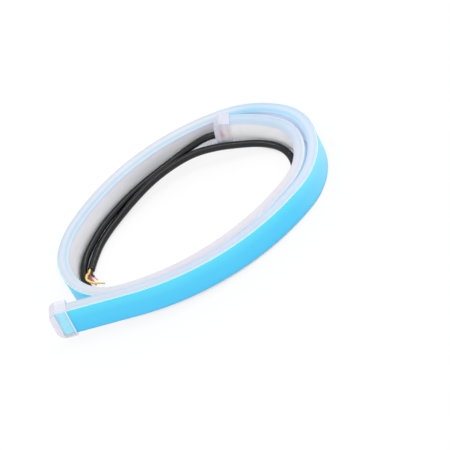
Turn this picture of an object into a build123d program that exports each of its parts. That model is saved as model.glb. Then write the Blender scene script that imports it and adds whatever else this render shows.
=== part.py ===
from build123d import *
import math
import os

# Flexible silicone daytime running light, coiled up on its long edge, with its cable laid inside the coil.
# Millimetres, +Z up. Z = 0 is the surface that it lies on, and the origin is under the middle of the coil.

# Strip section: depth runs from the bonded back to the light face, width runs up
strip_width = 14.0
body_depth = 4.4
face_corner_radius = 1.3
face_crown = 0.4
back_wall = 0.9
side_wall = 1.8
lens_wall = 1.3
cavity_corner_radius = 0.8
tape_thickness = 0.4
film_thickness = 0.1
tape_margin = 0.35
bond_line = 0.01

# Circuit inside the strip
circuit_thickness = 0.3
circuit_edge_gap = 0.4
circuit_end_gap = 5.0
led_length = 2.8
led_width = 3.5
led_height = 0.7
led_pitch = 7.5
led_end_gap = 14.0
solder_film = 0.08
resistor_length = 2.0
resistor_width = 1.25
resistor_height = 0.5
resistor_offset = 3.2
leds_per_resistor = 3

# End caps: moulded sleeves over the strip's ends
cap_wall = 0.8
cap_clearance = 0.05
cap_corner_radius = 4.0
cap_edge_radius = 0.7
blank_cap_overlap = 5.2
blank_cap_end_wall = 2.5
cable_cap_overlap = 3.2
cable_cap_chamber = 1.2
cable_cap_end_wall = 2.2
sealant_length = 3.0

# Cable and its three cores
cable_diameter = 3.0
cable_clearance = 0.1
core_diameter = 0.9
core_circle_radius = 0.58
cable_drop = 1.0
pad_spacing = 2.6
pad_radius = 0.8
pad_top_radius = 0.45
pad_height = 0.6
pad_gap = 0.15
tip_diameter = 0.5
tip_length = 2.0

# Coil, as left-hand arcs of the strip's back face seen from above.
# The lower turn lies flat. The free end climbs on a plane tilted about the coil's right-hand side.
# The inner end climbs off the surface in a parabola, and its last length is straight.
right_side = (63.0, 4.0)
lift_angle = 2.15
blank_straight = 30.3
front_radius = 105.0
front_angle = 44.5
right_radius = 31.0
right_angle = 61.0
back_right_radius = 24.5
back_right_angle = 39.5
shoulder_radius = 42.5
shoulder_angle = 38.0
back_radius = 90.5
back_angle = 48.0
back_left_radius = 35.5
back_left_angle = 22.0
turn_gap = 0.6
inner_tuck = 0.7
inner_turn_radius = 17.5
inner_turn_angle = 37.0
inner_end_radius = 36.0
inner_end_angle = 32.3
climb_length = 26.5
climb_height = 2.3
climb_sections = 25
cable_straight = 7.0

# Cable route on the surface inside the coil, after its straight start in the cap, and the bared leads
cable_start_run = 4.6
cable_route = [
    (17.9, 29.8, 8.0),
    (8.4, 29.6, 6.1),
    (-1.6, 28.4, 5.1),
    (-11.2, 26.1, 4.7),
    (-20.1, 22.5, 4.6),
    (-28.6, 18.2, 4.3),
    (-35.8, 13.0, 3.6),
    (-42.2, 7.1, 2.7),
    (-45.5, -0.6, 1.9),
    (-44.8, -7.6, 1.5),
    (-41.6, -14.2, 1.5),
    (-34.6, -19.5, 1.5),
    (-24.6, -22.5, 1.5),
    (-12.1, -24.5, 1.5),
    (1.4, -24.6, 1.5),
    (14.4, -23.2, 1.5),
    (25.4, -20.1, 1.5),
    (35.4, -16.2, 1.5),
    (43.8, -11.2, 1.5),
    (48.8, -4.4, 1.5),
    (50.7, 3.8, 1.8),
    (48.8, 10.8, 2.9),
    (42.8, 16.4, 4.2),
    (34.8, 19.6, 6.3),
    (26.3, 22.9, 7.7),
    (16.9, 26.4, 7.3),
    (6.4, 26.4, 6.9),
    (-3.6, 24.7, 6.2),
    (-12.6, 22.0, 4.9),
    (-21.6, 18.7, 3.2),
    (-29.2, 14.7, 2.4),
    (-35.9, 9.2, 2.1),
    (-41.1, 2.0, 1.9),
]
lead_start_run = 2.0
yellow_lead_route = [
    (-43.5, -1.2, 4.0),
    (-44.4, -3.7, 4.5),
    (-42.8, -6.0, 3.8),
    (-40.2, -6.6, 2.1),
]
red_lead_route = [(-42.7, -1.4, 1.0), (-42.3, -3.4, 0.8)]
black_lead_route = [(-41.2, -1.4, 1.2)]

os.makedirs("parts", exist_ok=True)


# Path of the strip

strip_depth = body_depth + bond_line + tape_thickness + film_thickness
turn_pitch = strip_depth + turn_gap


def arc_step(radius, angle):
    """Move along an arc that turns left: forward is local X, left is local Y."""
    return Pos(Y=radius) * Rot(Z=angle) * Pos(Y=-radius)


def step(run, share=1.0):
    """Move along a run, or a share of it. A run is (radius, angle), and radius 0 is a straight length."""
    radius, amount = run
    return arc_step(radius, amount * share) if radius else Pos(X=amount * share)


def run_length(run):
    radius, amount = run
    return radius * math.radians(amount) if radius else amount


def left_end_runs(frame, front_centre, front_bearing):
    """The left-hand arc and the inner front arc: both follow from the turn that they lie inside."""
    inner_radius = front_radius - turn_pitch
    offset = frame.position - front_centre
    left = Vector(*(frame * Pos(Y=1)).position) - frame.position
    radius = (inner_radius**2 - offset.dot(offset)) / (2 * (left.dot(offset) + inner_radius))
    centre = frame.position + left * radius
    outward = centre - front_centre
    bearing = math.degrees(math.atan2(outward.Y, outward.X))
    start = math.degrees(math.atan2(-left.Y, -left.X))
    return [(radius, (bearing - start) % 360), (inner_radius, (front_bearing - bearing) % 360)]


right_frame = Pos(*right_side) * Rot(Z=90)

lifted_runs = [(0, blank_straight), (front_radius, front_angle), (right_radius, right_angle)]
lifted_start = right_frame * Rot(X=lift_angle)
flat_start = right_frame
for lifted_run in reversed(lifted_runs):
    lifted_start = lifted_start * step(lifted_run, -1.0)

outer_runs = [
    (back_right_radius, back_right_angle),
    (shoulder_radius, shoulder_angle),
    (back_radius, back_angle),
    (back_left_radius, back_left_angle),
]
back_left_frame = right_frame
for outer_run in outer_runs:
    back_left_frame = back_left_frame * step(outer_run)

front_frame = right_frame * step((right_radius, right_angle), -1.0)
front_centre = (front_frame * Pos(Y=front_radius)).position
front_outward = front_frame.position - front_centre
front_bearing = math.degrees(math.atan2(front_outward.Y, front_outward.X))
inner_right_radius = right_radius - turn_pitch - inner_tuck

flat_runs = outer_runs + left_end_runs(back_left_frame, front_centre, front_bearing)
flat_runs += [
    (inner_right_radius, right_angle),
    (inner_turn_radius, inner_turn_angle),
    (inner_end_radius, inner_end_angle),
]

lifted_length = sum(run_length(run) for run in lifted_runs)
climb_end = lifted_length + sum(run_length(run) for run in flat_runs)
climb_start = climb_end - climb_length
climb_places = [climb_start + climb_length * index / (climb_sections - 1) for index in range(climb_sections)]
strip_length = climb_end + cable_straight


def walk(start, runs, distance):
    """Frame at a distance along a chain of runs."""
    frame = start
    for run in runs:
        length = run_length(run)
        share = min(distance / length, 1.0)
        frame = frame * step(run, share)
        distance -= length * share
        if distance <= 0:
            break
    return frame


def station(distance):
    """Section frame: X along the strip, Y from its back to its light face, Z across its width."""
    if distance < lifted_length:
        return walk(lifted_start, lifted_runs, distance) * Rot(X=-lift_angle)
    if distance > climb_end:
        return station(climb_end) * Pos(X=distance - climb_end)
    flat = walk(flat_start, flat_runs, distance - lifted_length)
    share = max(distance - climb_start, 0) / climb_length
    pitch = math.degrees(math.atan(2 * climb_height * share / climb_length))
    return Pos(Z=climb_height * share**2) * flat * Rot(Y=-pitch)


def strip_path(start, end):
    """The back face's line from one distance to another, as tangent lines and arcs."""
    edges = []
    passed = 0.0
    for run in lifted_runs + flat_runs:
        low = max(start, passed)
        high = min(end, passed + run_length(run))
        passed += run_length(run)
        if high - low < 1e-6:
            continue
        ends = [station(low).position, station(high).position]
        middle = station((low + high) / 2).position
        edges.append(ThreePointArc(ends[0], middle, ends[1]) if run[0] else Line(*ends))
    return Wire(edges)


section_plane = Plane(origin=(0, 0, 0), x_dir=(0, 1, 0), z_dir=(1, 0, 0))


def push(sketch, start, end):
    """Extrude a section sketch straight on from a section frame, between two local distances."""
    return extrude(section_plane.offset(start) * sketch, end - start)


def carry(sketch, start, end):
    """Carry a section sketch along the strip: swept arcs, then the climb, then the straight end."""
    arcs = sweep(station(start) * (section_plane * sketch), path=strip_path(start, climb_start))
    climb = loft([station(place) * (section_plane * sketch) for place in climb_places])
    return arcs + climb + station(climb_end) * push(sketch, 0, end - climb_end)


# Section sketches: local X is depth, local Y is width

def strip_outline(back, grow):
    """Flat back with square corners, rounded corners and a slight crown on the light face."""
    back_x = -back - grow
    face_x = body_depth - face_crown + grow
    low, high = -grow, strip_width + grow
    with BuildSketch() as sketch:
        with BuildLine():
            ThreePointArc((face_x, low), (face_x + face_crown, strip_width / 2), (face_x, high))
            Polyline((face_x, high), (back_x, high), (back_x, low), (face_x, low))
        make_face()
        fillet(sketch.vertices().group_by(Axis.X)[-1], face_corner_radius + grow)
    return sketch.sketch


def band(depth, thickness, margin):
    """A thin layer across the strip's width, less a margin at each edge."""
    width = strip_width - 2 * margin
    return Pos(depth + thickness / 2, strip_width / 2) * Rectangle(thickness, width)


def cavity_outline():
    depth = body_depth - back_wall - lens_wall
    width = strip_width - 2 * side_wall
    shape = Pos(back_wall + depth / 2, strip_width / 2) * Rectangle(depth, width)
    return fillet(shape.vertices().group_by(Axis.X)[-1], cavity_corner_radius)


# Strip, tape and film

silicone_body = carry(strip_outline(0, 0), 0, strip_length) - carry(cavity_outline(), 0, strip_length)
adhesive_tape = carry(band(-bond_line - tape_thickness, tape_thickness, tape_margin), 0, strip_length)
release_film = carry(band(body_depth - strip_depth, film_thickness, tape_margin), 0, strip_length)

# Circuit, lamps and resistors

circuit_margin = side_wall + circuit_edge_gap
circuit_face = back_wall + bond_line + circuit_thickness
flex_circuit = carry(
    band(back_wall + bond_line, circuit_thickness, circuit_margin), circuit_end_gap, strip_length - circuit_end_gap
)

led_count = int((strip_length - 2 * led_end_gap) / led_pitch) + 1
led_places = [led_end_gap + index * led_pitch for index in range(led_count)]


def chip(distance, length, width, height, offset):
    """A block soldered on the circuit."""
    base = circuit_face + solder_film
    return station(distance) * Pos(0, base + height / 2, strip_width / 2 + offset) * Box(length, height, width)


def lamps(first):
    return Compound(children=[chip(place, led_length, led_width, led_height, 0) for place in led_places[first::2]])


white_leds = lamps(0)
amber_leds = lamps(1)
led_resistors = Compound(
    children=[
        chip(place + led_pitch / 2, resistor_length, resistor_width, resistor_height, resistor_offset)
        for place in led_places[:-1:leds_per_resistor]
    ]
)

# Blank end: cap and sealant plug

cap_grow = cap_clearance + cap_wall
cap_height = strip_width + 2 * cap_grow
pocket = strip_outline(strip_depth - body_depth, cap_clearance)


def sleeve(start, end, pocket_start, pocket_end, closed_end):
    """A cap: a slab with round corners at its closed end and soft edges, with a pocket for the strip."""
    side = Pos((start + end) / 2, strip_width / 2) * Rectangle(end - start, cap_height)
    side = fillet(side.vertices().group_by(Axis.X)[closed_end], cap_corner_radius)
    slab = extrude(Plane.XZ.offset(-body_depth - cap_grow) * side, strip_depth + 2 * cap_grow)
    mouth = slab.faces().sort_by(Axis.X)[-1 - closed_end]
    cheeks = [slab.faces().sort_by(Axis.Y)[place] for place in (0, -1)]
    rims = [edge for cheek in cheeks for edge in cheek.edges() if edge not in mouth.edges()]
    return fillet(rims, cap_edge_radius) - push(pocket, pocket_start, pocket_end)


blank_frame = station(0)
blank_end_cap = blank_frame * sleeve(-blank_cap_end_wall, blank_cap_overlap, 0, blank_cap_overlap, 0)
blank_end_sealant = blank_frame * push(cavity_outline(), 0, sealant_length)

# Cable end: cap, cores, solder joints and sealant plug

cable_frame = station(strip_length)
cap_end = cable_cap_chamber + cable_cap_end_wall
cable_axis = Pos(0, body_depth / 2, strip_width / 2 - cable_drop)
cable_bore = Rot(Y=90) * Cylinder(
    cable_diameter / 2 + cable_clearance, cable_cap_end_wall, align=(Align.CENTER, Align.CENTER, Align.MIN)
)
cable_end_cap = cable_frame * (
    sleeve(-cable_cap_overlap, cap_end, -cable_cap_overlap, cable_cap_chamber, -1)
    - Pos(X=cable_cap_chamber) * cable_axis * cable_bore
)

pad_distance = -circuit_end_gap - pad_radius - pad_gap


def rod(start, end, diameter):
    """A straight round bar between two points."""
    along = Vector(*end) - Vector(*start)
    return Plane(origin=start, z_dir=along) * Cylinder(
        diameter / 2, along.length, align=(Align.CENTER, Align.CENTER, Align.MIN)
    )


def core_wire(index):
    """One core, from the cable's end to its pad on the circuit, cut square at the cable's end."""
    angle = math.radians(90 - 120 * index)
    start = (
        cable_cap_chamber,
        body_depth / 2 + core_circle_radius * math.cos(angle),
        strip_width / 2 - cable_drop + core_circle_radius * math.sin(angle),
    )
    end = (
        pad_distance + pad_radius + pad_gap,
        circuit_face + core_diameter / 2 + solder_film,
        strip_width / 2 + (1 - index) * pad_spacing,
    )
    beyond = Vector(*start) + (Vector(*start) - Vector(*end)).normalized() * core_diameter
    return rod(end, beyond, core_diameter) & push(pocket, end[0] - core_diameter, cable_cap_chamber)


core_wires = [core_wire(index) for index in range(3)]
solder_pad = Rot(X=-90) * Cone(
    pad_radius, pad_top_radius, pad_height, align=(Align.CENTER, Align.CENTER, Align.MIN)
)
solder_joints = cable_frame * Compound(
    children=[
        Pos(pad_distance, circuit_face + solder_film, strip_width / 2 + (1 - index) * pad_spacing) * solder_pad
        for index in range(3)
    ]
)
cable_end_sealant = cable_frame * (push(cavity_outline(), -sealant_length, 0) - core_wires)
red_core, yellow_core, black_core = [cable_frame * wire for wire in core_wires]

# Cable and bared leads


def cord_line(points):
    """Straight runs joined by the largest tangent arcs that the runs leave room for."""
    corners = [Vector(*point) for point in points]
    runs = [end - start for start, end in zip(corners, corners[1:])]
    radii = []
    for before, after in zip(runs, runs[1:]):
        half_turn = math.radians(before.get_angle(after) / 2)
        radii.append(0.45 * min(before.length, after.length) / math.tan(half_turn))
    line = FilletPolyline(*corners, radius=radii)
    print("cord radii", [round(radius, 1) for radius in radii], "length", round(line.length, 1))
    return line


def cord(line, diameter):
    """A round cord along a line."""
    return sweep(Plane(origin=line @ 0, z_dir=line % 0) * Circle(diameter / 2), path=line)


cable_start = cable_frame * Pos(X=cable_cap_chamber) * cable_axis
cable_line = cord_line(
    [cable_start.position, (cable_start * Pos(X=cable_start_run)).position] + cable_route
)
cable_jacket = cord(cable_line, cable_diameter)

jacket_end = Plane(origin=cable_line @ 1, x_dir=Vector(0, 0, 1), z_dir=cable_line % 1)


def lead_line(index, route):
    """One bared core, straight out of the jacket's end and then along its own route."""
    angle = math.radians(30 + 120 * index)
    place = (core_circle_radius * math.cos(angle), core_circle_radius * math.sin(angle))
    start = [jacket_end.from_local_coords((*place, depth)) for depth in (0, lead_start_run)]
    return cord_line(start + route)


lead_lines = [
    lead_line(index, route)
    for index, route in enumerate([yellow_lead_route, red_lead_route, black_lead_route])
]
yellow_lead, red_lead, black_lead = [cord(line, core_diameter) for line in lead_lines]
lead_tips = Compound(
    children=[rod(line @ 1, (line @ 1) + (line % 1) * tip_length, tip_diameter) for line in lead_lines]
)

print("strip length", round(strip_length, 1), "turn pitch", round(turn_pitch, 2))

nodes = {
    "silicone_body": silicone_body,
    "adhesive_tape": adhesive_tape,
    "release_film": release_film,
    "flex_circuit": flex_circuit,
    "white_leds": white_leds,
    "amber_leds": amber_leds,
    "led_resistors": led_resistors,
    "blank_end_cap": blank_end_cap,
    "blank_end_sealant": blank_end_sealant,
    "cable_end_cap": cable_end_cap,
    "cable_end_sealant": cable_end_sealant,
    "solder_joints": solder_joints,
    "red_core": red_core,
    "yellow_core": yellow_core,
    "black_core": black_core,
    "cable_jacket": cable_jacket,
    "red_lead": red_lead,
    "yellow_lead": yellow_lead,
    "black_lead": black_lead,
    "lead_tips": lead_tips,
}
for name, shape in nodes.items():
    export_step(shape, f"parts/{name}.step")
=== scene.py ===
"""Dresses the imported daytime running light: a coiled silicone strip with its film, end caps and cable."""

import math

import bpy
import numpy as np
from bpy.props import FloatProperty, FloatVectorProperty, PointerProperty
from mathutils import Matrix, Vector


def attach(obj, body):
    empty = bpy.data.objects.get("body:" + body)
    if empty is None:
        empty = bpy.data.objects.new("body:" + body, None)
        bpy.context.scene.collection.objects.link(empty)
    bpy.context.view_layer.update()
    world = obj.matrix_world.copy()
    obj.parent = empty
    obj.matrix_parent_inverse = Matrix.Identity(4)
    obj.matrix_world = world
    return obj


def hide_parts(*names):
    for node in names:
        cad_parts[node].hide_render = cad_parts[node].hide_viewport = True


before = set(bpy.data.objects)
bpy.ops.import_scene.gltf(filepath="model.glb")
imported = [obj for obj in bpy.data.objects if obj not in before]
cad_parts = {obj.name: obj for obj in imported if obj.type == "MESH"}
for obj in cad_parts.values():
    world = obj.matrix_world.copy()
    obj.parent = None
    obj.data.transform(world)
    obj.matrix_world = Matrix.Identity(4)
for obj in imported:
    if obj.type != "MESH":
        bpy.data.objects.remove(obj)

bl_info = {
    "name": "Coiled running light",
    "version": (1, 0, 0),
    "blender": (4, 5, 0),
    "location": "View3D > Sidebar > Running light",
    "description": "Silicone skin, film, cable and materials of a coiled daytime running light",
    "category": "Object",
}

# The cable's route inside the coil, as in the part's source, in metres
CABLE_ROUTE = [
    (0.0179, 0.0298, 0.0080),
    (0.0084, 0.0296, 0.0061),
    (-0.0016, 0.0284, 0.0051),
    (-0.0112, 0.0261, 0.0047),
    (-0.0201, 0.0225, 0.0046),
    (-0.0286, 0.0182, 0.0043),
    (-0.0358, 0.0130, 0.0036),
    (-0.0422, 0.0071, 0.0027),
    (-0.0455, -0.0006, 0.0019),
    (-0.0448, -0.0076, 0.0015),
    (-0.0416, -0.0142, 0.0015),
    (-0.0346, -0.0195, 0.0015),
    (-0.0246, -0.0225, 0.0015),
    (-0.0121, -0.0245, 0.0015),
    (0.0014, -0.0246, 0.0015),
    (0.0144, -0.0232, 0.0015),
    (0.0254, -0.0201, 0.0015),
    (0.0354, -0.0162, 0.0015),
    (0.0438, -0.0112, 0.0015),
    (0.0488, -0.0044, 0.0015),
    (0.0507, 0.0038, 0.0018),
    (0.0488, 0.0108, 0.0029),
    (0.0428, 0.0164, 0.0042),
    (0.0348, 0.0196, 0.0063),
    (0.0263, 0.0229, 0.0077),
    (0.0169, 0.0264, 0.0073),
    (0.0064, 0.0264, 0.0069),
    (-0.0036, 0.0247, 0.0062),
    (-0.0126, 0.0220, 0.0049),
    (-0.0216, 0.0187, 0.0032),
    (-0.0292, 0.0147, 0.0024),
    (-0.0359, 0.0092, 0.0021),
    (-0.0411, 0.0020, 0.0019),
]

# Fineness of the new surfaces: metres between sections, then points on each part of a section
SKIN_SPACING = 0.0008
FILM_SPACING = 0.001
END_SPACING = 0.002
SIDE_POINTS = 9
CORNER_POINTS = 11
FACE_POINTS = 21
FILM_POINTS = 13

TINT_SPAN = 0.0125  # distance across the skin that is 1 in its v, in metres


def linear(red, green, blue):
    """Scene colour of a screen colour given as 0 to 255."""
    share = np.array([red, green, blue]) / 255
    value = np.where(share <= 0.04045, share / 12.92, ((share + 0.055) / 1.055) ** 2.4)
    return (*value.tolist(), 1.0)


def grey(value):
    """Scene colour with one value in all its channels."""
    return (value, value, value, 1.0)


def colour_property(name, description, *screen):
    """A colour setting with a screen colour as its default."""
    return FloatVectorProperty(
        name=name, description=description, size=4, default=linear(*screen), min=0.0, max=1.0, subtype="COLOR"
    )


def share_property(name, description, default):
    """A setting from 0 to 1."""
    return FloatProperty(name=name, description=description, default=default, min=0.0, max=1.0, subtype="FACTOR")


class StripSettings(bpy.types.PropertyGroup):
    """Sizes of the strip and of its coil, as in the part's source."""

    width: FloatProperty(name="Width", description="Strip width", default=0.014, unit="LENGTH")
    depth: FloatProperty(name="Depth", description="Depth of the silicone", default=0.0044, unit="LENGTH")
    corner: FloatProperty(name="Corner", description="Radius of the face's corners", default=0.0013, unit="LENGTH")
    crown: FloatProperty(name="Crown", description="Rise of the light face", default=0.0004, unit="LENGTH")
    tape: FloatProperty(name="Tape", description="Thickness of the tape", default=0.0004, unit="LENGTH")
    film: FloatProperty(name="Film", description="Thickness of the film", default=0.0001, unit="LENGTH")
    tape_margin: FloatProperty(name="Margin", description="Strip edge to film edge", default=0.00035, unit="LENGTH")
    bond: FloatProperty(name="Bond line", description="Silicone to tape", default=0.00001, unit="LENGTH")
    right_side: FloatVectorProperty(
        name="Right side", description="Point where the lift begins", size=2, default=(0.063, 0.004), unit="LENGTH"
    )
    lift: FloatProperty(
        name="Lift", description="Tilt of the free end", default=math.radians(2.15), subtype="ANGLE"
    )
    straight: FloatProperty(name="Straight", description="Straight free end", default=0.0303, unit="LENGTH")
    front_radius: FloatProperty(name="Front radius", description="Front arc", default=0.105, unit="LENGTH")
    front_angle: FloatProperty(
        name="Front angle", description="Front arc", default=math.radians(44.5), subtype="ANGLE"
    )
    right_radius: FloatProperty(name="Right radius", description="Right arc", default=0.031, unit="LENGTH")
    right_angle: FloatProperty(
        name="Right angle", description="Right arc", default=math.radians(61.0), subtype="ANGLE"
    )
    back_radii: FloatVectorProperty(
        name="Back radii", description="Arcs round the back", size=4, default=(0.0245, 0.0425, 0.0905, 0.0355),
        unit="LENGTH",
    )
    back_angles: FloatVectorProperty(
        name="Back angles", description="Arcs round the back", size=4,
        default=tuple(math.radians(angle) for angle in (39.5, 38.0, 48.0, 22.0)), unit="ROTATION",
    )
    turn_gap: FloatProperty(name="Turn gap", description="Gap between the turns", default=0.0006, unit="LENGTH")
    inner_tuck: FloatProperty(name="Inner tuck", description="Inner end drawn in", default=0.0007, unit="LENGTH")
    inner_radii: FloatVectorProperty(
        name="Inner radii", description="Last two arcs", size=2, default=(0.0175, 0.036), unit="LENGTH"
    )
    inner_angles: FloatVectorProperty(
        name="Inner angles", description="Last two arcs", size=2,
        default=tuple(math.radians(angle) for angle in (37.0, 32.3)), unit="ROTATION",
    )
    inner_straight: FloatProperty(name="Inner straight", description="Straight end", default=0.007, unit="LENGTH")
    climb_length: FloatProperty(name="Climb length", description="Inner end", default=0.0265, unit="LENGTH")
    climb_height: FloatProperty(name="Climb height", description="Inner end", default=0.0023, unit="LENGTH")


class CableSettings(bpy.types.PropertyGroup):
    """The cable's facts, and its place in its cap."""

    diameter: FloatProperty(name="Diameter", description="Jacket diameter", default=0.003, unit="LENGTH")
    chamber: FloatProperty(name="Chamber", description="Room in the cap", default=0.0012, unit="LENGTH")
    start_run: FloatProperty(name="Start", description="Straight start", default=0.0046, unit="LENGTH")
    cap_end: FloatProperty(name="Cap end", description="Strip's end to cap's end", default=0.0034, unit="LENGTH")
    overlap: FloatProperty(name="Overlap", description="Cap on the strip", default=0.0032, unit="LENGTH")
    drop: FloatProperty(name="Drop", description="Exit below the strip's middle", default=0.001, unit="LENGTH")
    length: FloatProperty(name="Length", description="Length outside the cap", default=0.316, unit="LENGTH")


class CapSettings(bpy.types.PropertyGroup):
    """The end caps: their reach, the shares of light they stop, and painted glimpses of the wires that tint one of
    them.
    """

    blank_overlap: FloatProperty(name="Blank overlap", description="Cap on the strip", default=0.0052, unit="LENGTH")
    blank_wall: FloatProperty(name="Blank wall", description="Cap past the strip", default=0.0025, unit="LENGTH")
    blank_sleeve: share_property("Blank sleeve", "Light that the blank cap's sleeve stops", 0.17)
    blank_end: share_property("Blank end", "Light that the blank cap's end stops", 0.7)
    cable_sleeve: share_property("Cable sleeve", "Light that the cable cap's sleeve stops", 0.36)
    cable_end: share_property("Cable end", "Light that the cable cap's end stops", 0.6)
    wire_height: share_property("Wire height", "Place of the wires up the strip's width", 0.6)
    wire_spot: FloatProperty(name="Wire spot", description="Reach of a wire's tint", default=0.0018, unit="LENGTH")
    red_wire: FloatProperty(name="Red wire", description="Distance from the mouth", default=0.0035, unit="LENGTH")
    yellow_wire: FloatProperty(name="Yellow wire", description="Distance from the mouth", default=0.0008, unit="LENGTH")


class FinishSettings(bpy.types.PropertyGroup):
    """Main colours of the pieces."""

    # Painted light: the film's colours grow paler toward its upper edge
    film_foot: colour_property("Film foot", "Film at its lower edge", 62, 198, 249)
    film_middle: colour_property("Film middle", "Film along its middle", 70, 205, 249)
    film_top: colour_property("Film top", "Film at its upper edge", 86, 226, 253)
    tape_front: colour_property("Tape front", "Tape at the front of the coil", 226, 243, 248)
    # Painted shade: the tape is greyer behind the coil
    shaded_tape_back: colour_property("Tape back", "Tape behind the coil", 196, 209, 226)
    # Painted shade: the caps' upward faces are greyer against the light from above
    shaded_cap_top: colour_property("Cap top", "Upward faces of the caps", 219, 219, 231)
    # Painted glimpses of the red and yellow wires through the cable cap
    red_glimpse: colour_property("Red glimpse", "Red wire through the cable cap", 255, 150, 170)
    yellow_glimpse: colour_property("Yellow glimpse", "Yellow wire through the cable cap", 255, 215, 130)
    cable_jacket: colour_property("Cable", "Cable jacket", 15, 15, 18)
    red_wire: colour_property("Red wire", "Red core and lead", 246, 104, 126)
    yellow_wire: colour_property("Yellow wire", "Yellow core and lead", 246, 218, 116)
    black_wire: colour_property("Black wire", "Black core and lead", 40, 40, 43)
    tinned_copper: colour_property("Tips", "Tinned ends of the leads", 190, 170, 140)
    sealant: colour_property("Sealant", "Plugs in the strip's ends", 236, 238, 246)
    circuit: colour_property("Circuit", "Flexible circuit", 240, 240, 236)
    white_lamp: colour_property("White lamps", "Lamps that shine white", 246, 232, 150)
    amber_lamp: colour_property("Amber lamps", "Lamps that shine amber", 240, 170, 60)
    resistor: colour_property("Resistors", "Resistors on the circuit", 30, 30, 32)
    solder: colour_property("Solder", "Solder on the pads", 205, 206, 208)


class StageSettings(bpy.types.PropertyGroup):
    """Camera, lights and floor."""

    target: FloatVectorProperty(
        name="Target", description="Point at the picture's middle", size=3, default=(0.01415, -0.00112, -0.00902),
        unit="LENGTH",
    )
    elevation: FloatProperty(name="Elevation", description="Camera tilt", default=math.radians(48.0), subtype="ANGLE")
    roll: FloatProperty(name="Roll", description="Camera roll", default=math.radians(28.488), subtype="ANGLE")
    distance: FloatProperty(name="Distance", description="Camera distance", default=1.0, unit="LENGTH")
    lens: FloatProperty(name="Lens", description="Focal length in millimetres", default=200.08, unit="CAMERA")
    horizon: FloatProperty(name="Horizon", description="Soft light from the sides", default=0.92)
    zenith: FloatProperty(name="Zenith", description="Soft light from above", default=0.96)
    key: FloatProperty(name="Key", description="Power of the softbox", default=2.3, subtype="POWER")
    key_place: FloatVectorProperty(
        name="Key place", description="Middle of the softbox", size=3, default=(0.2, 0.05, 0.8), unit="LENGTH"
    )
    key_size: FloatVectorProperty(
        name="Key size", description="Sides of the softbox", size=2, default=(1.0, 0.085), unit="LENGTH"
    )
    floor_reach: FloatProperty(name="Floor", description="Half of the floor's side", default=1.5, unit="LENGTH")
    floor_white: share_property("Floor white", "Share of plain white in the floor as it is seen", 0.86)
    contact: FloatProperty(name="Contact", description="Reach of contact shadows", default=0.006, unit="LENGTH")


# Path of the strip


def left_of(heading):
    """Unit vector to the left of a heading."""
    return np.array([-np.sin(heading), np.cos(heading)])


def run_frames(point, heading, radius, along):
    """Plan points and headings at distances along one run that turns left, or goes straight at radius 0."""
    if not radius:
        step = np.stack([np.cos(heading) * along, np.sin(heading) * along], 1)
        return point + step, np.full(len(along), heading)
    headings = heading + along / radius
    centre = point + radius * left_of(heading)
    return centre - radius * left_of(headings).T, headings


def run_length(run):
    """Length of a run: a radius and an angle, or 0 and a length."""
    radius, amount = run
    return abs(radius * amount) if radius else abs(amount)


def walk(point, heading, runs):
    """Start point and heading of each run of a chain, and of its end."""
    starts = [(point, heading)]
    for run in runs:
        points, headings = run_frames(*starts[-1], run[0], np.array([run_length(run)]))
        starts.append((points[0], headings[0]))
    return starts


def walk_back(point, heading, runs):
    """Start point and heading of a chain of runs that ends at the given ones."""
    for radius, amount in reversed(runs):
        if radius:
            centre = point + radius * left_of(heading)
            heading -= amount
            point = centre - radius * left_of(heading)
        else:
            point = point - amount * np.array([math.cos(heading), math.sin(heading)])
    return point, heading


def strip_runs(strip):
    """The lifted runs, and the flat runs with the two that follow by tangency from the turn round them.

    The left arc touches the back arcs' end and, from inside, the circle that lies one pitch in from the front
    arc. With d from that circle's centre to the end, its radius is (R squared - d squared) / 2 (left . d + R).
    """
    lifted = [
        (0, strip.straight),
        (strip.front_radius, strip.front_angle),
        (strip.right_radius, strip.right_angle),
    ]
    right = np.array(strip.right_side)
    pitch = strip.depth + strip.bond + strip.tape + strip.film + strip.turn_gap
    back = list(zip(strip.back_radii, strip.back_angles))
    point, heading = walk(right, math.pi / 2, back)[-1]
    front_heading = math.pi / 2 - strip.right_angle
    right_centre = right - np.array([strip.right_radius, 0])
    front_centre = right_centre + (strip.front_radius - strip.right_radius) * left_of(front_heading)
    inner_radius = strip.front_radius - pitch
    left = left_of(heading)
    offset = point - front_centre
    radius = (inner_radius**2 - offset @ offset) / (2 * (left @ offset + inner_radius))
    outward = point + left * radius - front_centre
    turned = math.atan2(outward[1], outward[0]) + math.pi / 2
    flat = back + [
        (radius, (turned - heading) % math.tau),
        (inner_radius, (front_heading - turned) % math.tau),
        (strip.right_radius - pitch - strip.inner_tuck, strip.right_angle),
        *zip(strip.inner_radii, strip.inner_angles),
        (0, strip.inner_straight),
    ]
    return lifted, flat


def strip_plan(strip, spacing):
    """Distances, plan points and headings along the whole strip, and the length of its lifted part."""
    lifted, flat = strip_runs(strip)
    right = np.array(strip.right_side), math.pi / 2
    pieces = []
    passed = 0.0
    for runs, begin in ((lifted, walk_back(*right, lifted)), (flat, right)):
        for run, (point, heading) in zip(runs, walk(*begin, runs)):
            length = run_length(run)
            along = np.linspace(0, length, max(2, round(length / spacing) + 1))[:-1]
            points, headings = run_frames(point, heading, run[0], along)
            pieces.append((passed + along, points, headings))
            passed += length
    end_point, end_heading = walk(*right, flat)[-1]
    pieces.append((np.array([passed]), end_point[None], np.array([end_heading])))
    distance, plan, heading = (np.concatenate(columns) for columns in zip(*pieces))
    return distance, plan, heading, sum(run_length(run) for run in lifted)


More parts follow.
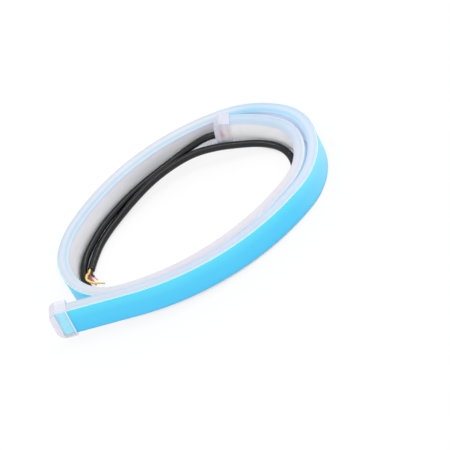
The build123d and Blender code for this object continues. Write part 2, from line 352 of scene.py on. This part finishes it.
def strip_frames(strip, spacing):
    """Distances, points and section axes (along, to the light face, across) all along the strip.

    The flat part is a chain of arcs in plan. The free end is the same kind of chain on a plane tilted about
    the tangent at the coil's right side, with its section leaned back by the same tilt. The inner end climbs
    by the square of the distance and then goes straight on.
    """
    distance, plan, heading, lifted_length = strip_plan(strip, spacing)
    tilt = np.where(distance < lifted_length, strip.lift, 0.0)
    tilt_cos, tilt_sin = np.cos(tilt), np.sin(tilt)
    head_cos, head_sin = np.cos(heading), np.sin(heading)
    hinge = strip.right_side[0]
    offset = plan[:, 0] - hinge
    points = np.stack([hinge + offset * tilt_cos, plan[:, 1], -offset * tilt_sin], 1)
    along = np.stack([head_cos * tilt_cos, head_sin, -head_cos * tilt_sin], 1)
    left = np.stack([-head_sin * tilt_cos, head_cos, head_sin * tilt_sin], 1)
    normal = np.stack([tilt_sin, np.zeros_like(tilt), tilt_cos], 1)
    inward = left * tilt_cos[:, None] - normal * tilt_sin[:, None]
    across = left * tilt_sin[:, None] + normal * tilt_cos[:, None]
    climb_end = distance[-1] - strip.inner_straight
    share = np.clip((distance - climb_end) / strip.climb_length + 1, 0, 1)
    slope = np.arctan(2 * strip.climb_height * share / strip.climb_length)
    slope_cos, slope_sin = np.cos(slope), np.sin(slope)
    beyond = np.maximum(distance - climb_end, 0)
    points[:, 2] += strip.climb_height * share**2 + beyond * slope_sin
    points[:, :2] -= (beyond * (1 - slope_cos))[:, None] * along[:, :2]
    climbing = along * slope_cos[:, None] + across * slope_sin[:, None]
    across = across * slope_cos[:, None] - along * slope_sin[:, None]
    return distance, points, climbing, inward, across


# Sections and swept surfaces


def arc(centre, radius, start, end, count):
    """Points on an arc between two angles."""
    angle = np.linspace(start, end, count)
    return np.stack([centre[0] + radius * np.cos(angle), centre[1] + radius * np.sin(angle)], 1)


def strip_section(strip):
    """The strip's outline as (depth, width) points, from the back's upper corner round the light face and home.

    Flat sides run to corner arcs that are tangent to them and to the crown, which is one shallow arc.
    """
    half = strip.width / 2
    crown_radius = (half**2 + strip.crown**2) / (2 * strip.crown)
    crown_centre = strip.depth - crown_radius
    reach = crown_radius - strip.corner
    corner_width = half - strip.corner
    corner_depth = crown_centre + math.sqrt(reach**2 - corner_width**2)
    lean = math.asin(corner_width / reach)
    flat = np.linspace(0, corner_depth, SIDE_POINTS)[:-1]
    top = np.stack([flat, np.full(len(flat), half)], 1)
    corner = arc((corner_depth, corner_width), strip.corner, math.pi / 2, lean, CORNER_POINTS)[:-1]
    face = arc((crown_centre, 0), crown_radius, lean, -lean, FACE_POINTS)
    upper = np.concatenate([top, corner])
    lower = upper[::-1] * (1, -1)
    section = np.concatenate([upper, face, lower])
    return section + (0, half)


def sweep_mesh(name, frames, section, across):
    """A closed section carried along the frames, with UV u as the share of the length and v as given.

    Point (i, j) is frame point i plus depth times the inward axis plus width times the across axis.
    """
    distance, points, _, inward, upward = frames
    rows, columns = len(points), len(section)
    verts = points[:, None] + section[None, :, :1] * inward[:, None] + section[None, :, 1:] * upward[:, None]
    index = np.arange(rows * columns).reshape(rows, columns)
    beside = np.roll(index, -1, 1)
    quads = np.stack([index[:-1], index[1:], beside[1:], beside[:-1]], -1).reshape(-1, 4)
    mesh = bpy.data.meshes.new(name)
    ends = [index[0].tolist(), index[-1][::-1].tolist()]
    mesh.from_pydata(verts.reshape(-1, 3), [], quads.tolist() + ends)
    share = distance / distance[-1]
    wrapped = np.append(across, across[0])
    u = np.stack([share[:-1], share[1:], share[1:], share[:-1]], -1)
    v = np.stack([wrapped[:-1], wrapped[:-1], wrapped[1:], wrapped[1:]], -1)
    quad_uv = np.empty((rows - 1, columns, 4, 2))
    quad_uv[..., 0] = u[:, None]
    quad_uv[..., 1] = v[None]
    end_uv = [np.stack([np.full(columns, value), across[::step]], 1) for value, step in ((0, 1), (1, -1))]
    uv = np.concatenate([quad_uv.reshape(-1, 2)] + end_uv)
    mesh.uv_layers.new(name="Strip").data.foreach_set("uv", uv.ravel().astype(np.float32))
    mesh.polygons.foreach_set("use_smooth", np.r_[np.ones(len(quads), bool), [False, False]])
    mesh.update()
    piece = bpy.data.objects.new(name, mesh)
    bpy.context.scene.collection.objects.link(piece)
    return piece


# Materials


class Nodes:
    """A node tree under construction: new nodes by type, links between sockets."""

    def __init__(self, tree):
        self.tree = tree

    def node(self, kind, **values):
        """A new node of a type, with its attributes set."""
        node = self.tree.nodes.new(kind)
        for name, value in values.items():
            setattr(node, name, value)
        return node

    def link(self, source, target):
        """Joins an output to an input."""
        self.tree.links.new(source, target)

    def feed(self, value, target):
        """Links a socket to an input, or sets the input to a plain value."""
        if isinstance(value, bpy.types.NodeSocket):
            self.link(value, target)
        else:
            target.default_value = value

    def math(self, operation, *values):
        """A math operation on sockets and plain values."""
        node = self.node("ShaderNodeMath", operation=operation)
        for target, value in zip(node.inputs, values):
            self.feed(value, target)
        return node.outputs[0]

    def vector(self, operation, source, fixed):
        """A vector operation on a socket and a fixed vector."""
        node = self.node("ShaderNodeVectorMath", operation=operation)
        self.link(source, node.inputs[0])
        node.inputs[1].default_value = fixed
        return node.outputs["Vector" if operation == "SUBTRACT" else "Value"]

    def ramp(self, factor, stops):
        """Colours through pairs of a place and a colour."""
        node = self.node("ShaderNodeValToRGB")
        elements = node.color_ramp.elements
        while len(elements) < len(stops):
            elements.new(0.5)
        for element, (position, colour) in zip(elements, stops):
            element.position = position
            element.color = colour
        self.link(factor, node.inputs["Fac"])
        return node.outputs["Color"]

    def fade(self, factor, *stops):
        """Greys through pairs of a place and a value."""
        return self.ramp(factor, [(place, grey(value)) for place, value in stops])

    def mix(self, factor, first, second, blend="MIX"):
        """The first colour with the second laid over it by the factor."""
        node = self.node("ShaderNodeMix", data_type="RGBA", blend_type=blend)
        for name, value in (("Factor", factor), ("A", first), ("B", second)):
            socket = [s for s in node.inputs if s.name == name and (name == "Factor" or s.type == "RGBA")][0]
            self.feed(value, socket)
        return [s for s in node.outputs if s.type == "RGBA"][0]

    def noise(self, scale, detail=3.0, stretch=None, source="Object"):
        """Soft noise on a texture coordinate, which may be stretched."""
        place = self.node("ShaderNodeTexCoord").outputs[source]
        if stretch:
            mapping = self.node("ShaderNodeMapping")
            mapping.inputs["Scale"].default_value = stretch
            self.link(place, mapping.inputs["Vector"])
            place = mapping.outputs["Vector"]
        node = self.node("ShaderNodeTexNoise")
        node.inputs["Scale"].default_value = scale
        node.inputs["Detail"].default_value = detail
        self.link(place, node.inputs["Vector"])
        return node.outputs["Fac"]

    def axes(self, source):
        """X, Y and Z of a texture coordinate."""
        node = self.node("ShaderNodeSeparateXYZ")
        self.link(self.node("ShaderNodeTexCoord").outputs[source], node.inputs[0])
        return tuple(node.outputs)

    def scaled(self, factor, low, high):
        """A factor from 0 to 1 carried to the given ends."""
        node = self.node("ShaderNodeMapRange")
        node.inputs["To Min"].default_value = low
        node.inputs["To Max"].default_value = high
        self.link(factor, node.inputs["Value"])
        return node.outputs[0]

    def seen_rays(self):
        """1 for the rays that show the background: from the camera, by reflection or through a clear piece."""
        rays = self.node("ShaderNodeLightPath").outputs
        seen = self.math("MAXIMUM", rays["Is Camera Ray"], rays["Is Glossy Ray"])
        return self.math("MAXIMUM", seen, rays["Is Transmission Ray"])


class Shader(Nodes):
    """A new material with its surface and output."""

    def __init__(self, name):
        self.material = bpy.data.materials.new(name)
        self.material.use_nodes = True
        super().__init__(self.material.node_tree)
        self.surface = self.tree.nodes["Principled BSDF"]
        self.output = self.tree.nodes["Material Output"]

    def set(self, **values):
        """Sets the surface's inputs by name, with _ for a space."""
        for name, value in values.items():
            self.surface.inputs[name.replace("_", " ")].default_value = value

    def colour(self, socket):
        """Takes the surface's colour from a socket."""
        self.link(socket, self.surface.inputs["Base Color"])

    def rough(self, factor, low, high):
        """Roughness between two values by a factor."""
        self.link(self.scaled(factor, low, high), self.surface.inputs["Roughness"])

    def bump(self, height, strength, distance):
        """Fine relief by a height."""
        node = self.node("ShaderNodeBump")
        node.inputs["Strength"].default_value = strength
        node.inputs["Distance"].default_value = distance
        self.link(height, node.inputs["Height"])
        self.link(node.outputs["Normal"], self.surface.inputs["Normal"])

    def glow(self, strength, colour):
        """Faint light of its own."""
        self.link(strength, self.surface.inputs["Emission Strength"])
        self.set(Emission_Color=colour)

    def show(self, share, first, second):
        """Puts a blend of two shaders on the output, with the given share of the second."""
        blend = self.node("ShaderNodeMixShader")
        self.link(share, blend.inputs["Fac"])
        self.link(first.outputs[0], blend.inputs[1])
        self.link(second.outputs[0], blend.inputs[2])
        self.link(blend.outputs[0], self.output.inputs["Surface"])


def across_stops(side, face):
    """Stops of a ramp over half of v plus a half: side colours by |v| on both edges, face colours between them."""
    lower = [(0.5 - place / 2, colour) for place, colour in reversed(side)]
    upper = [(0.5 + place / 2, colour) for place, colour in side]
    return lower + [(0.5 + place / 2, colour) for place, colour in face] + upper


def silicone_material():
    """Milky silicone, coloured across its section and along its length.

    Across, |v| is 0 at the middle of the light face, 0.47 to 0.62 on the rounded corners and 0.85 at the film.
    Much of this colour is painted light. On the back of the coil the sides are pale, with a blue corner,
    a painted glimpse of the film through the silicone, and the light face is painted lighter toward its
    foot against the shade there. The front is painted greyer and even, and the inner turn less blue, as lit
    and shaded copies of the one silicone; thin lighter lines on the corners are painted highlights. A painted
    reflection of the film tints the sides along the length. The slit between the turns and the foot of the
    face get a faint painted glow, emission that stands in for the light spread inside the silicone.
    """
    shader = Shader("milky_silicone")
    u, v, _ = shader.axes("UV")
    across = shader.math("ABSOLUTE", v)
    place = shader.math("MULTIPLY_ADD", v, 0.5, 0.5)
    # The back's face is painted lighter toward its foot, against the shade there
    lit_back_face = [(-0.40, linear(255, 255, 255)), (0.0, linear(252, 252, 255)), (0.42, linear(240, 241, 248))]
    # Painted light: lighter corner lines are painted highlights, the blue corner a painted glimpse of the film
    back = [
        (0.475, linear(208, 217, 234)),
        (0.515, linear(218, 230, 252)),
        (0.545, linear(212, 228, 251)),
        (0.575, linear(180, 212, 235)),
        (0.63, linear(184, 214, 236)),
        (0.675, linear(210, 220, 238)),
        (0.71, linear(219, 224, 240)),
        (0.80, linear(209, 217, 236)),
        (0.845, linear(197, 209, 229)),
    ]
    lit_front_face = [(-0.40, linear(255, 255, 255)), (0.42, linear(252, 252, 255))]
    front = [
        (0.47, linear(216, 226, 240)),
        (0.53, linear(194, 210, 231)),
        (0.62, linear(196, 213, 234)),
        (0.68, linear(204, 219, 238)),
        (0.75, linear(203, 217, 237)),
        (0.81, linear(194, 210, 231)),
        (0.838, linear(218, 228, 241)),
    ]
    inner = [
        (0.47, linear(236, 238, 245)),
        (0.56, linear(216, 218, 230)),
        (0.70, linear(222, 221, 231)),
        (0.80, linear(212, 214, 228)),
        (0.84, linear(224, 229, 240)),
    ]
    # The back, the front and the inner turn take lit and shaded copies of the one silicone
    at_front = shader.fade(u, (0.27, 1.0), (0.33, 0.0))
    at_inner = shader.fade(u, (0.58, 0.0), (0.66, 1.0), (0.86, 1.0), (0.92, 0.55))
    lit_back_body = shader.ramp(place, across_stops(back, lit_back_face))
    lit_front_body = shader.ramp(place, across_stops(front, lit_front_face))
    lit_inner_body = shader.ramp(place, across_stops(inner, lit_front_face))
    body = shader.mix(at_inner, shader.mix(at_front, lit_back_body, lit_front_body), lit_inner_body)
    # Painted reflection of the film, laid along the length over the sides
    tints = [
        (0.00, (0.98, 0.945, 0.875)),
        (0.12, (0.93, 0.928, 0.905)),
        (0.18, (0.92, 0.926, 0.915)),
        (0.28, (1.0, 1.0, 1.0)),
        (0.33, (0.85, 0.95, 0.97)),
        (0.372, (0.735, 0.918, 0.948)),
        (0.395, (0.90, 0.953, 0.92)),
        (0.41, (0.985, 0.962, 0.89)),
        (0.49, (1.0, 0.964, 0.883)),
        (0.56, (0.95, 0.955, 0.90)),
        (0.63, (0.856, 0.937, 0.924)),
        (0.70, (0.93, 0.935, 0.91)),
        (0.75, (0.972, 0.935, 0.904)),
        (0.87, (0.962, 0.945, 0.914)),
        (0.94, (0.76, 0.874, 0.906)),
    ]
    tint = shader.ramp(u, [(share, (*colour, 1.0)) for share, colour in tints])
    on_side = shader.fade(across, (0.46, 0.0), (0.53, 1.0), (0.81, 1.0), (0.838, 0.3))
    body = shader.mix(on_side, body, shader.mix(1.0, body, tint, blend="MULTIPLY"))
    blotch = shader.noise(60.0, detail=2.0)
    shade = shader.fade(blotch, (0.3, 0.97), (0.7, 1.0))
    shader.colour(shader.mix(1.0, body, shade, blend="MULTIPLY"))
    streak = shader.noise(1.0, stretch=(40.0, 160.0, 1.0), source="UV")
    shader.rough(streak, low=0.34, high=0.5)
    shader.bump(streak, strength=0.15, distance=0.0001)
    # Painted glow: emission that stands in for light spread inside the silicone, in the slit and at the face's foot
    slit = shader.fade(u, (0.2, 0.0), (0.24, 0.14), (0.36, 0.14), (0.39, 0.0))
    foot = shader.fade(place, (0.40, 0.12), (0.62, 0.0))
    on_face = shader.fade(across, (0.46, 1.0), (0.55, 0.0))
    shader.glow(shader.math("MULTIPLY", shader.math("ADD", slit, foot), on_face), linear(205, 210, 226))
    shader.set(IOR=1.41, Subsurface_Weight=0.35, Subsurface_Scale=0.0015, Subsurface_Radius=(0.9, 1.0, 1.1))
    shader.set(Coat_Weight=0.1, Coat_Roughness=0.25)
    return shader.material


def film_material(finish):
    """Blue release film with painted light: paler along its upper edge, most of all behind, and at the right side.

    Its faint patches differ at random. Where light comes through the silicone, in the blank cap and in the slit
    between turns, it is painted brighter and given a faint painted glow.
    """
    shader = Shader("blue_film")
    u, v, _ = shader.axes("UV")
    # Painted light: the film is paler toward its upper edge
    body = shader.ramp(v, [(0.0, finish.film_foot), (0.55, finish.film_middle), (1.0, finish.film_top)])
    patch = shader.noise(1.0, detail=2.0, stretch=(22.0, 2.2, 1.0), source="UV")
    body = shader.mix(shader.scaled(patch, 0.0, 0.3), body, linear(104, 216, 252))
    # Painted light on the film at the right side of the coil
    painted_right_light = shader.fade(u, (0.22, 0.0), (0.29, 0.5), (0.34, 0.5), (0.40, 0.0))
    body = shader.mix(painted_right_light, body, linear(168, 232, 250))
    # Painted light: paler still along the upper edge behind the coil
    edge = shader.fade(v, (0.95, 0.0), (0.98, 0.9))
    behind = shader.fade(u, (0.36, 0.0), (0.43, 1.0), (0.56, 1.0), (0.60, 0.0))
    body = shader.mix(shader.math("MULTIPLY", edge, behind), body, linear(220, 222, 236))
    # Painted light: the film seen in the blank cap is brighter
    painted_cap_light = shader.fade(u, (0.011, 1.0), (0.0115, 0.0))
    body = shader.mix(painted_cap_light, body, linear(102, 236, 255))
    # Painted light: the film in the slit between turns is paler
    painted_slit_light = shader.fade(u, (0.70, 0.0), (0.76, 0.85), (0.97, 0.85), (0.98, 0.0))
    shader.colour(shader.mix(painted_slit_light, body, linear(194, 211, 228)))
    crease = shader.noise(1.0, detail=2.0, stretch=(60.0, 3.0, 1.0), source="UV")
    shader.rough(crease, low=0.38, high=0.5)
    shader.bump(crease, strength=0.12, distance=0.0002)
    # Painted glow in the blank cap and in the slit
    glow = shader.fade(u, (0.011, 0.10), (0.0115, 0.0), (0.70, 0.0), (0.78, 0.15), (0.96, 0.15), (0.98, 0.0))
    shader.glow(glow, linear(205, 214, 228))
    shader.set(IOR=1.4, Coat_Weight=0.1, Coat_Roughness=0.3)
    return shader.material


def simple_material(name, colour, roughness, grain, depth, **values):
    """A plain moulded or drawn surface: one colour with faint mottling and a fine grain of the given scale."""
    shader = Shader(name)
    mottle = shader.noise(grain)
    dark = tuple(0.9 * channel for channel in colour[:3]) + (1.0,)
    shader.colour(shader.ramp(mottle, [(0.3, dark), (0.7, colour)]))
    shader.rough(mottle, low=roughness * 0.9, high=min(1.0, roughness * 1.1))
    shader.bump(mottle, strength=0.2, distance=depth)
    shader.set(**values)
    return shader.material


def tape_material(finish):
    """White foam tape with a fine grain, greyer round the back of the coil by painted shade."""
    shader = Shader("foam_tape")
    _, y, _ = shader.axes("Object")
    middle = shader.math("MULTIPLY_ADD", y, 50.0, 0.5)  # 0 to 1 over 2 cm about the coil's middle
    # Painted shade: greyer toward the back of the coil
    body = shader.mix(shader.fade(middle, (0.4, 0.0), (0.8, 1.0)), finish.tape_front, finish.shaded_tape_back)
    grain = shader.noise(1500.0)
    shade = shader.fade(grain, (0.3, 0.93), (0.7, 1.0))
    shader.colour(shader.mix(1.0, body, shade, blend="MULTIPLY"))
    shader.rough(grain, low=0.63, high=0.77)
    shader.bump(grain, strength=0.2, distance=0.0001)
    return shader.material


def cap_material(name, top, mouth, along, reach, sleeve, end, wires=(), spot=1.0):
    """Clear to milky moulded silicone, through which the film shows, with a white rim round its mouth.

    The distance in from the mouth's plane, as a share of the reach, sets how much of the light each surface
    stops: nearly all at the rim, the share given for the sleeve, then the share given for the closed end.
    Upward faces are milkier and carry painted shade, greyer against the light from above, and most light passes through
    to what is inside. Each wire is a place and a colour: a soft spot of the given reach, where a painted glimpse of
    the wire behind it tints the cap.
    """
    shader = Shader(name)
    place = shader.node("ShaderNodeTexCoord").outputs["Object"]
    _, _, up = shader.axes("Normal")
    cloud = shader.noise(220.0, detail=2.0)
    side = shader.ramp(cloud, [(0.3, linear(238, 235, 247)), (0.7, linear(243, 241, 251))])
    # Painted shade: upward faces greyer against the light from above
    body = shader.mix(shader.fade(up, (0.1, 0.0), (0.8, 1.0)), side, top)
    # Painted glimpses: soft spots of the wires' colours where the wires behind show through
    for centre, tint in wires:
        apart = shader.math("DIVIDE", shader.vector("DISTANCE", place, centre), spot)
        body = shader.mix(shader.scaled(apart, 0.8, 0.0), body, tint)
    shader.colour(body)
    shader.rough(cloud, low=0.25, high=0.4)
    shader.set(IOR=1.41, Coat_Weight=0.1, Coat_Roughness=0.2)
    depth = shader.vector("DOT_PRODUCT", shader.vector("SUBTRACT", place, mouth), along)
    share = shader.math("DIVIDE", depth, reach)
    milk = shader.fade(share, (0.0, 0.95), (0.035, 0.9), (0.07, sleeve), (0.63, sleeve), (0.67, end))
    milk = shader.math("MAXIMUM", milk, shader.math("MULTIPLY", up, 0.6))
    shadow = shader.node("ShaderNodeLightPath").outputs["Is Shadow Ray"]
    kept = shader.scaled(shadow, 1.0, 0.2)  # shadows are a fifth as dense
    milk = shader.math("MULTIPLY", milk, kept)
    shader.show(milk, shader.node("ShaderNodeBsdfTransparent"), shader.surface)
    return shader.material


def floor_material(stage):
    """Pale floor, near white for the rays that show the background, but not where a piece covers it closely."""
    shader = Shader("pale_floor")
    shader.set(Base_Color=grey(0.9), Roughness=0.9)
    cover = shader.node("ShaderNodeAmbientOcclusion", samples=16)
    cover.inputs["Distance"].default_value = stage.contact
    uncovered = shader.fade(cover.outputs["AO"], (0.14, 0.0), (0.34, 1.0))
    seen = shader.math("MULTIPLY", shader.seen_rays(), uncovered)
    white = shader.node("ShaderNodeEmission")
    white.inputs["Color"].default_value = grey(1.0)
    shader.show(shader.math("MULTIPLY", seen, stage.floor_white), shader.surface, white)
    return shader.material


def studio_world(stage):
    """Soft light from all round, a little stronger from above, and plain white where it shows."""
    world = bpy.data.worlds.new("studio")
    world.use_nodes = True
    sky = Nodes(world.node_tree)
    _, _, height = sky.axes("Generated")
    level = sky.node("ShaderNodeMix")
    sky.feed(sky.seen_rays(), level.inputs["Factor"])
    sky.feed(sky.scaled(height, stage.horizon, stage.zenith), level.inputs["A"])
    sky.feed(1.0, level.inputs["B"])
    background = world.node_tree.nodes["Background"]
    background.inputs["Color"].default_value = grey(1.0)
    sky.link(level.outputs[0], background.inputs["Strength"])
    return world


def camera_frame(stage):
    """The camera's place: back from the target at the elevation, and rolled about its line of sight."""
    tilt_cos, tilt_sin = math.cos(stage.elevation), math.sin(stage.elevation)
    right, up, back = Vector((1, 0, 0)), Vector((0, tilt_sin, tilt_cos)), Vector((0, -tilt_cos, tilt_sin))
    roll_cos, roll_sin = math.cos(stage.roll), math.sin(stage.roll)
    axes = right * roll_cos - up * roll_sin, right * roll_sin + up * roll_cos, back
    place = Matrix(axes).transposed().to_4x4()
    place.translation = Vector(stage.target) + back * stage.distance
    return place


# Plain pieces: their nodes, then roughness, scale and depth of the grain, and other values of the surface
LAMP = {"roughness": 0.3, "grain": 900.0, "depth": 0.00002}
INSULATION = {"roughness": 0.4, "grain": 900.0, "depth": 0.00003}
PLAIN_FINISHES = {
    "sealant": (
        ("blank_end_sealant", "cable_end_sealant"),
        {"roughness": 0.3, "grain": 300.0, "depth": 0.0001, "Alpha": 0.4},
    ),
    "circuit": (("flex_circuit",), {"roughness": 0.5, "grain": 500.0, "depth": 0.00005}),
    "white_lamp": (("white_leds",), LAMP),
    "amber_lamp": (("amber_leds",), LAMP),
    "resistor": (("led_resistors",), {"roughness": 0.5, "grain": 900.0, "depth": 0.00002}),
    "solder": (("solder_joints",), {"roughness": 0.25, "grain": 900.0, "depth": 0.00002, "Metallic": 1.0}),
    "red_wire": (("red_core", "red_lead"), INSULATION),
    "yellow_wire": (("yellow_core", "yellow_lead"), INSULATION),
    "black_wire": (("black_core", "black_lead"), INSULATION),
    "tinned_copper": (("lead_tips",), {"roughness": 0.35, "grain": 2500.0, "depth": 0.0001, "Metallic": 1.0}),
}


def dress(nodes, material):
    """Gives CAD nodes or pieces one material."""
    for name in nodes:
        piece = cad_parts.get(name) or bpy.data.objects[name]
        piece.data.materials.clear()
        piece.data.materials.append(material)


# Operators


class DRL_OT_strip(bpy.types.Operator):
    """Builds the silicone skin, coloured across its section with much painted light"""

    bl_idname = "drl.strip"
    bl_label = "Silicone strip"

    def execute(self, context):
        strip = context.scene.drl_strip
        section = strip_section(strip)
        gaps = np.linalg.norm(np.diff(section, axis=0), axis=1)
        length = np.append(0, np.cumsum(gaps))
        across = (length[-1] / 2 - length) / TINT_SPAN
        skin = sweep_mesh("silicone_skin", strip_frames(strip, SKIN_SPACING), section, across)
        dress(["silicone_skin"], silicone_material())
        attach(skin, "root")
        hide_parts("silicone_body")
        return {"FINISHED"}


class DRL_OT_film(bpy.types.Operator):
    """Builds the release film on the tape"""

    bl_idname = "drl.film"
    bl_label = "Release film"

    def execute(self, context):
        strip = context.scene.drl_strip
        low, high = strip.tape_margin, strip.width - strip.tape_margin
        front = -strip.bond - strip.tape
        widths = np.linspace(low, high, FILM_POINTS)
        outer = np.stack([np.full(FILM_POINTS, front - strip.film), widths], 1)
        inner = np.stack([np.full(FILM_POINTS, front), widths[::-1]], 1)
        section = np.concatenate([outer, inner])
        across = (section[:, 1] - low) / (high - low)
        film = sweep_mesh("film_sheet", strip_frames(strip, FILM_SPACING), section, across)
        dress(["film_sheet"], film_material(context.scene.drl_finish))
        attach(film, "root")
        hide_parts("release_film")
        return {"FINISHED"}


class DRL_OT_cable(bpy.types.Operator):
    """Lays the cable inside the coil"""

    bl_idname = "drl.cable"
    bl_label = "Cable"

    def execute(self, context):
        strip = context.scene.drl_strip
        cable = context.scene.drl_cable
        _, points, along, inward, upward = (values[-1] for values in strip_frames(strip, END_SPACING))
        axis = points + inward * strip.depth / 2 + upward * (strip.width / 2 - cable.drop)
        first = [axis + along * reach for reach in (cable.chamber, cable.chamber + cable.start_run)]
        route = [tuple(point) for point in first] + CABLE_ROUTE
        curve = bpy.data.curves.new("cable", "CURVE")
        curve.dimensions = "3D"
        spline = curve.splines.new("NURBS")
        spline.points.add(len(route) - 1)
        for target, point in zip(spline.points, route):
            target.co = (*point, 1.0)
        spline.order_u = 3
        spline.use_endpoint_u = True
        spline.resolution_u = 10
        curve.bevel_depth = cable.diameter / 2
        curve.bevel_resolution = 6
        curve.use_fill_caps = True
        line = bpy.data.objects.new("cable", curve)
        context.scene.collection.objects.link(line)
        colour = context.scene.drl_finish.cable_jacket
        jacket = simple_material("cable_jacket", colour, roughness=0.22, grain=900.0, depth=0.00001, IOR=1.44)
        dress(["cable"], jacket)
        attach(line, "root")
        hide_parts("cable_jacket")
        return {"FINISHED"}


class DRL_OT_dress(bpy.types.Operator):
    """Gives the caps, tape, leads and the pieces inside their materials"""

    bl_idname = "drl.dress"
    bl_label = "Materials"

    def execute(self, context):
        scene = context.scene
        strip, cable, caps, finish = scene.drl_strip, scene.drl_cable, scene.drl_caps, scene.drl_finish
        _, points, along, inward, upward = strip_frames(strip, END_SPACING)
        blank_mouth = points[0] + along[0] * caps.blank_overlap
        blank_reach = caps.blank_overlap + caps.blank_wall
        blank_cap = cap_material(
            "blank_cap", finish.shaded_cap_top, blank_mouth, -along[0], blank_reach, caps.blank_sleeve, caps.blank_end
        )
        dress(["blank_end_cap"], blank_cap)
        cable_mouth = points[-1] - along[-1] * cable.overlap
        cable_reach = cable.overlap + cable.cap_end
        # Places of the painted glimpses of the red and yellow wires on the cable cap
        wire_place = cable_mouth + inward[-1] * strip.depth + upward[-1] * strip.width * caps.wire_height
        wires = [
            (wire_place + along[-1] * caps.red_wire, finish.red_glimpse),
            (wire_place + along[-1] * caps.yellow_wire, finish.yellow_glimpse),
        ]
        cable_cap = cap_material(
            "cable_cap", finish.shaded_cap_top, cable_mouth, along[-1], cable_reach, caps.cable_sleeve, caps.cable_end,
            wires, caps.wire_spot,
        )
        dress(["cable_end_cap"], cable_cap)
        dress(["adhesive_tape"], tape_material(finish))
        for name, (nodes, values) in PLAIN_FINISHES.items():
            dress(nodes, simple_material(name, getattr(finish, name), **values))
        return {"FINISHED"}


class DRL_OT_stage(bpy.types.Operator):
    """Sets the floor, the lights and the camera"""

    bl_idname = "drl.stage"
    bl_label = "Stage"

    def execute(self, context):
        scene = context.scene
        stage = scene.drl_stage
        scene.view_settings.view_transform = "Standard"
        mesh = bpy.data.meshes.new("floor")
        reach = stage.floor_reach
        corners = [(-reach, -reach, 0), (reach, -reach, 0), (reach, reach, 0), (-reach, reach, 0)]
        mesh.from_pydata(corners, [], [(0, 1, 2, 3)])
        mesh.materials.append(floor_material(stage))
        floor = bpy.data.objects.new("floor", mesh)
        scene.collection.objects.link(floor)
        scene.world = studio_world(stage)

        lamp = bpy.data.lights.new("softbox", "AREA")
        lamp.energy = stage.key
        lamp.shape = "RECTANGLE"
        lamp.size, lamp.size_y = stage.key_size
        softbox = bpy.data.objects.new("softbox", lamp)
        softbox.location = stage.key_place
        softbox.rotation_euler.y = math.atan2(softbox.location.x, softbox.location.z)
        scene.collection.objects.link(softbox)

        camera = bpy.data.cameras.new("camera")
        camera.lens = stage.lens
        holder = bpy.data.objects.new("camera", camera)
        scene.collection.objects.link(holder)
        holder.matrix_world = camera_frame(stage)
        scene.camera = holder
        return {"FINISHED"}


class DRL_PT_panel(bpy.types.Panel):
    """Settings and steps of the running light"""

    bl_idname = "DRL_PT_panel"
    bl_label = "Running light"
    bl_space_type = "VIEW_3D"
    bl_region_type = "UI"
    bl_category = "Running light"

    def draw(self, context):
        for group in (getattr(context.scene, name) for name in GROUPS):
            box = self.layout.box()
            for name in group.bl_rna.properties.keys():
                if name not in ("rna_type", "name"):
                    box.prop(group, name)
        for step in OPERATORS:
            self.layout.operator(step.bl_idname)


OPERATORS = (DRL_OT_stage, DRL_OT_cable, DRL_OT_strip, DRL_OT_film, DRL_OT_dress)
GROUPS = {
    "drl_strip": StripSettings,
    "drl_cable": CableSettings,
    "drl_caps": CapSettings,
    "drl_finish": FinishSettings,
    "drl_stage": StageSettings,
}
CLASSES = (*GROUPS.values(), *OPERATORS, DRL_PT_panel)


def register():
    """Makes the classes and their settings known to the scene."""
    for item in CLASSES:
        bpy.utils.register_class(item)
    for name, group in GROUPS.items():
        setattr(bpy.types.Scene, name, PointerProperty(type=group))


def unregister():
    """Takes the settings and classes away again."""
    for name in GROUPS:
        delattr(bpy.types.Scene, name)
    for item in reversed(CLASSES):
        bpy.utils.unregister_class(item)


def main():
    """Builds the scene."""
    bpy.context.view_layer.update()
    register()
    bpy.ops.drl.stage()
    bpy.ops.drl.cable()
    bpy.ops.drl.strip()
    bpy.ops.drl.film()
    bpy.ops.drl.dress()


if __name__ == "__main__":
    main()
